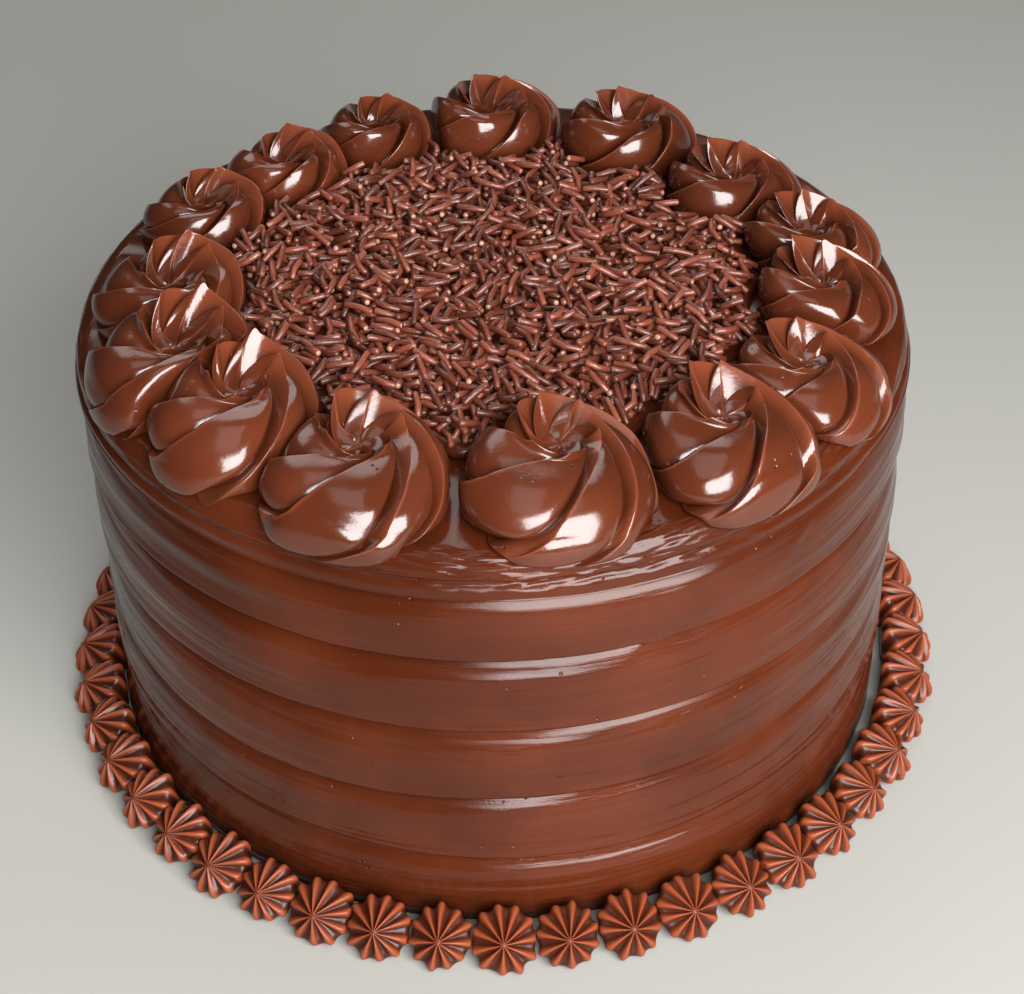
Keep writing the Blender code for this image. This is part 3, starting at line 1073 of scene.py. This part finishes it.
@dataclass
class StarRing:
    """The ring of stars round the cake's foot. The last few, at the back, stand in joined pairs."""

    count: int = STAR_COUNT

    def build(self) -> None:
        """Makes one piece for each CAD node: a star, or a pair of them."""
        material = STAR_ICING.material()
        singles = self.count - 2 * JOINED_PAIRS
        groups = [[number] for number in range(singles)]
        groups += [[singles + 2 * pair, singles + 2 * pair + 1] for pair in range(JOINED_PAIRS)]
        for number, group in enumerate(groups):
            surfaces = [Star(star).surface() for star in group]
            name = f"foot_star_{number + 1:02d}"
            # The crest attribute carries the ridges' painted light.
            mesh = skin_mesh(
                f"piped_{name}", [points for points, _ in surfaces], {"crest": [edge for _, edge in surfaces]}
            )
            add_piece(mesh, material, [name])


# The sprinkles


@dataclass
class SprinkleHeap:
    """The heap of sprinkles on the cake's top, over a thin bed of icing that holds them.

    Args:
        count: How many sprinkles are dropped.
        length: The length of odd ones, shortest and longest.
        usual_length: The length of the others, shortest and longest.
        odd: Share of odd ones.
        tries: Places tried for each one, of which it takes the lowest.
        cell: The size of a cell of the map of heights.
        sides: Flat sides of one sprinkle.
        broken: Share of them that show a pale broken end.
        seed: The seed of their places.
        bed_columns: Points round the bed.
    """

    count: int = 1900
    length: tuple[float, float] = (3.6 * MM, 8.2 * MM)
    usual_length: tuple[float, float] = (5.2 * MM, 7.6 * MM)
    odd: float = 0.25
    tries: int = 5
    cell: float = 0.4 * MM
    sides: int = 8
    broken: float = 0.3
    seed: int = 15
    bed_columns: int = 240

    def outline(self, angle: Array) -> Array:
        """How far the bed reaches: to its own radius, or to the circle round a rosette in its way.

        Args:
            angle: The angles asked for.

        Returns:
            The bed's reach at each angle.
        """
        reach = np.full_like(angle, BED_RADIUS)
        for place, _, distance, radius, _, _ in ROSETTE_PLACES:
            turn = angle - math.radians(place)
            aside = distance * np.sin(turn)
            clear = radius + BED_CLEARANCE
            meets = (np.cos(turn) > 0) & (np.abs(aside) < clear)
            near = distance * np.cos(turn) - np.sqrt(np.maximum(0, clear**2 - aside**2))
            reach = np.where(meets, np.minimum(reach, near), reach)
        return reach

    def build(self) -> None:
        """Makes the bed, then the sprinkles on it."""
        self.build_bed()
        self.build_sprinkles()

    def build_bed(self) -> None:
        """The thin bed, with a slightly uneven top: rings that shrink towards the middle."""
        angle = np.linspace(0, TURN, self.bed_columns, endpoint=False)
        reach = self.outline(angle)
        shares = np.array([1.0, 1.0, 0.985, 0.95, 0.88, 0.78, 0.66, 0.54, 0.42, 0.30, 0.18, 0.08])[:, None]
        lifts = np.array([0.0, 1.8, 2.5, 2.8, 3, 3, 3, 3, 3, 3, 3, 3])[:, None] * MM
        height = CAKE_HEIGHT + GAP + lifts * (1 + 0.06 * drifting_noise(angle / TURN, 1 - shares, 24, 10, 3))
        radius = reach * shares
        grid = np.stack([radius * np.cos(angle), radius * np.sin(angle), height], axis=-1)
        mesh = skin_mesh("sprinkle_bed_icing", [grid], {"crest": [np.zeros(grid.shape[:2])]})
        add_piece(mesh, SIDE_ICING.material(), ["sprinkle_bed"])

    def drop(self) -> tuple[Array, ...]:
        """Drops the sprinkles one after another on a map of heights.

        Each one is tried at several places. There it leans on the highest cells under its two halves and lies
        just above every cell under it. It stays where that is lowest, and the map rises by it.

        Returns:
            Each one's middle, direction, length, bend and tone, and whether its ends are broken.
        """
        chance = np.random.default_rng(self.seed)
        half = int(BED_RADIUS / self.cell) + 12
        heights = np.zeros((2 * half, 2 * half))
        middles, directions, lengths, bends, tones, breaks = [], [], [], [], [], []
        along = np.linspace(-0.5, 0.5, 13)
        for _ in range(self.count):
            size = chance.uniform(*(self.length if chance.random() < self.odd else self.usual_length))
            best = None
            for _ in range(self.tries):
                place, heading = chance.uniform(0, TURN, 2)
                reach = float(self.outline(np.array([place]))[0]) - 0.6 * MM
                away = (reach - 0.35 * size) * math.sqrt(chance.random())
                x = away * math.cos(place) + along * size * math.cos(heading)
                y = away * math.sin(place) + along * size * math.sin(heading)
                i = np.clip((x / self.cell).astype(int) + half, 0, 2 * half - 1)
                j = np.clip((y / self.cell).astype(int) + half, 0, 2 * half - 1)
                under = heights[i, j]
                low_end, high_end = under[:6].max(), under[7:].max()
                slope = np.clip((high_end - low_end) / (0.55 * size), -0.5, 0.5)
                line = along * size * slope
                middle = float((under - line).max()) + SPRINKLE_RADIUS
                if best is None or middle < best[0]:
                    best = (middle, away, place, heading, slope, i, j, line)
            middle, away, place, heading, slope, i, j, line = best
            for step_i, step_j in ((0, 0), (1, 0), (-1, 0), (0, 1), (0, -1)):
                a, b = np.clip(i + step_i, 0, 2 * half - 1), np.clip(j + step_j, 0, 2 * half - 1)
                heights[a, b] = np.maximum(heights[a, b], middle + line + 0.75 * SPRINKLE_RADIUS)
            middles.append((away * math.cos(place), away * math.sin(place), middle))
            directions.append((math.cos(heading), math.sin(heading), slope))
            lengths.append(size)
            bends.append(chance.normal(0, 0.07))
            tones.append(chance.random())
            breaks.append(chance.random() < self.broken)
        directions = np.array(directions)
        directions /= np.linalg.norm(directions, axis=1)[:, None]
        return np.array(middles), directions, *(np.array(part) for part in (lengths, bends, tones, breaks))

    def build_sprinkles(self) -> None:
        """Makes all the sprinkles as one piece.

        Each is a rod along its direction, its line bent sideways by its bend times the square of the
        share from its middle, with a rounded shoulder at each end and a small flat where it broke.
        """
        middle, direction, length, bend, tone, broken = self.drop()
        aside = np.stack([-direction[:, 1], direction[:, 0], np.zeros(len(direction))], axis=1)
        aside /= np.linalg.norm(aside, axis=1)[:, None]
        up = np.cross(direction, aside)
        along = np.array([-0.5, -0.46, 0.0, 0.46, 0.5])
        girth = np.array([0.62, 1.0, 1.04, 1.0, 0.62])
        side = TURN * np.arange(self.sides) / self.sides
        spokes = (
            aside[:, None, :] * np.cos(side)[None, :, None] + up[:, None, :] * np.sin(side)[None, :, None]
        )
        line = middle[:, None, :] + direction[:, None, :] * (along[None, :] * length[:, None])[..., None]
        bow = bend[:, None] * length[:, None] * (2 * along[None, :]) ** 2
        line = line + aside[:, None, :] * bow[..., None]
        line[..., 2] += CAKE_HEIGHT + GAP + BED_THICKNESS - 0.2 * MM
        rods = line[:, :, None, :] + spokes[:, None, :, :] * (girth * SPRINKLE_RADIUS)[None, :, None, None]
        count, rows = len(middle), len(along)
        points = rods.reshape(-1, 3)
        index = np.arange(rows * self.sides).reshape(rows, self.sides)
        beside = np.roll(index, -1, axis=1)
        quads = np.stack([index[:-1], beside[:-1], beside[1:], index[1:]], axis=-1).reshape(-1)
        caps = np.concatenate([index[0][::-1], index[-1]])
        one = np.concatenate([quads, caps])
        corners = (one[None, :] + (np.arange(count) * rows * self.sides)[:, None]).reshape(-1)
        lengths = np.tile(np.concatenate([np.full(len(quads) // 4, 4), [self.sides, self.sides]]), count)
        ends = np.repeat(np.array([1.0, 0.0, 0.0, 0.0, 1.0]), self.sides)
        attributes = {
            "tone": np.repeat(tone, rows * self.sides),
            "broken": (ends[None, :] * broken[:, None]).reshape(-1),
        }
        mesh = filled_mesh("sprinkles", points, corners, lengths, attributes)
        add_piece(mesh, SPRINKLE_COAT.material(), ["sprinkle_bed"])


# The studio


@dataclass(frozen=True)
class SoftLight:
    """A soft rectangular light that faces the cake.

    Args:
        name: Its name.
        azimuth: Degrees round from +X.
        elevation: Degrees up.
        distance: Metres from the point that it faces.
        size: Its width and height.
        power: Watts.
        aim_height: The height of the point that it faces, on the cake's axis.
    """

    name: str
    azimuth: float
    elevation: float
    distance: float
    size: tuple[float, float]
    power: float
    aim_height: float = 0.06

    def build(self) -> None:
        """Makes the light."""
        light = bpy.data.lights.new(self.name, "AREA")
        light.shape = "RECTANGLE"
        light.size, light.size_y = self.size
        light.energy = self.power
        around, up = math.radians(self.azimuth), math.radians(self.elevation)
        away = Vector((math.cos(around) * math.cos(up), math.sin(around) * math.cos(up), math.sin(up)))
        obj = bpy.data.objects.new(self.name, light)
        bpy.context.scene.collection.objects.link(obj)
        obj.location = Vector((0, 0, self.aim_height)) + away * self.distance
        obj.rotation_euler = away.to_track_quat("Z", "Y").to_euler()


@dataclass
class Studio:
    """The camera at the photograph's angle, soft lights and a pale floor.

    Args:
        camera_at: The camera's place.
        pitch: Degrees that it looks down.
        roll: Degrees that it leans.
        focal_length: Millimetres, over a sensor 36 mm wide.
        floor_tone: The floor's colour.
        sky_tone: The light from all round.
        lights: The soft lights.
        floor_half: Half the floor's width.
        floor_roughness: The floor's roughness.
        floor_drop: How far the floor lies under the cake's foot.
    """

    camera_at: tuple[float, float, float] = (0.004, -0.383, 0.357)
    pitch: float = 39.0
    roll: float = -0.87
    focal_length: float = 1900 / 1024 * 36
    floor_tone: Colour = (0.29, 0.285, 0.262)
    sky_tone: Colour = (0.045, 0.045, 0.0435)
    lights: tuple[SoftLight, ...] = (
        SoftLight("window", -66.0, 31.0, 0.80, (0.68, 0.54), 22.5),
        SoftLight("ceiling", -90.0, 80.0, 1.6, (1.0, 1.0), 4.0),
        SoftLight("far_window", 105.0, 48.0, 1.6, (1.4, 0.8), 10.0),
    )
    floor_half: float = 3.0
    floor_roughness: float = 0.6
    floor_drop: float = 0.0005

    def build(self) -> None:
        """Makes the camera, the lights, the floor and the light from all round."""
        self.add_camera()
        for light in self.lights:
            light.build()
        self.add_floor()
        world = bpy.data.worlds.new("room")
        world.use_nodes = True
        world.node_tree.nodes["Background"].inputs["Color"].default_value = opaque(self.sky_tone)
        bpy.context.scene.world = world
        view = bpy.context.scene.view_settings
        view.view_transform = "Standard"
        view.look = "None"

    def add_camera(self) -> None:
        """The camera: it looks along +Y and down by the pitch, and leans by the roll."""
        camera = bpy.data.cameras.new("camera")
        camera.sensor_width = 36
        camera.lens = self.focal_length
        camera.clip_start = 0.01
        pitch, roll = math.radians(self.pitch), math.radians(self.roll)
        forward = Vector((0, math.cos(pitch), -math.sin(pitch)))
        right, up = Vector((1, 0, 0)), Vector((0, math.sin(pitch), math.cos(pitch)))
        x = math.cos(roll) * right + math.sin(roll) * up
        y = math.cos(roll) * up - math.sin(roll) * right
        turned = Matrix((x, y, -forward)).transposed().to_4x4()
        obj = bpy.data.objects.new("camera", camera)
        bpy.context.scene.collection.objects.link(obj)
        obj.matrix_world = Matrix.Translation(self.camera_at) @ turned
        bpy.context.scene.camera = obj

    def add_floor(self) -> None:
        """A wide flat floor under the cake."""
        half = self.floor_half
        points = np.array([[-half, -half, 0], [half, -half, 0], [half, half, 0], [-half, half, 0]])
        mesh = filled_mesh("floor", points, np.arange(4), np.array([4]), {})
        bench = NodeBench("floor_paint")
        bench.give(bench.surface, "Base Color", opaque(self.floor_tone))
        bench.give(bench.surface, "Roughness", self.floor_roughness)
        mesh.materials.append(bench.material)
        floor = bpy.data.objects.new("floor", mesh)
        floor.location = (0, 0, -self.floor_drop)
        bpy.context.scene.collection.objects.link(floor)


def main() -> None:
    """Builds every sub-assembly and the studio."""
    logging.basicConfig(level=logging.INFO, format="%(message)s")
    CakeBody().build()
    SprinkleHeap().build()
    RosetteRing().build()
    StarRing().build()
    Studio().build()


if __name__ == "__main__":
    main()
